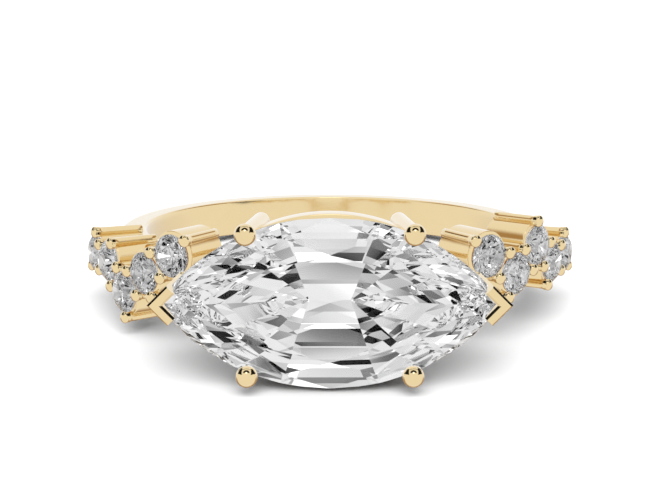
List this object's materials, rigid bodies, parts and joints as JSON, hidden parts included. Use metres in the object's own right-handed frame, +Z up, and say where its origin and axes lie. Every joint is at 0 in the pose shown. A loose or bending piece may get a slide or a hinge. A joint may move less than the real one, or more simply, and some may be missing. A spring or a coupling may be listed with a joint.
{
  "type": "marquise diamond ring",
  "caption": "Yellow gold finger ring with a marquise diamond set across the finger in ball and V claws, and small round diamonds staggered down each shoulder.",
  "frame": {"origin": "middle of the bounding box's base, on the floor that the ring lies on", "axes": "+Y points away from the marquise, from the head to the back of the band; +X runs along the marquise, to the right as the ring is worn looking at the stone; +Z is up, within 6.6 degrees of the finger hole's axis"},
  "size_m": [0.0218, 0.0238, 0.0067],
  "materials": {
    "gold": "high polish yellow gold with bright edges",
    "marquise_diamond": "colourless faceted diamond, polished",
    "round_diamond": "colourless faceted diamond, polished"
  },
  "bodies": {
    "root": {"gold_setting": "gold", "marquise_stone": "marquise_diamond", "round_stone_left_1": "round_diamond", "round_stone_left_2": "round_diamond", "round_stone_left_3": "round_diamond", "round_stone_left_4": "round_diamond", "round_stone_left_5": "round_diamond", "round_stone_right_1": "round_diamond", "round_stone_right_2": "round_diamond", "round_stone_right_3": "round_diamond", "round_stone_right_4": "round_diamond", "round_stone_right_5": "round_diamond"}
  },
  "joints": []
}
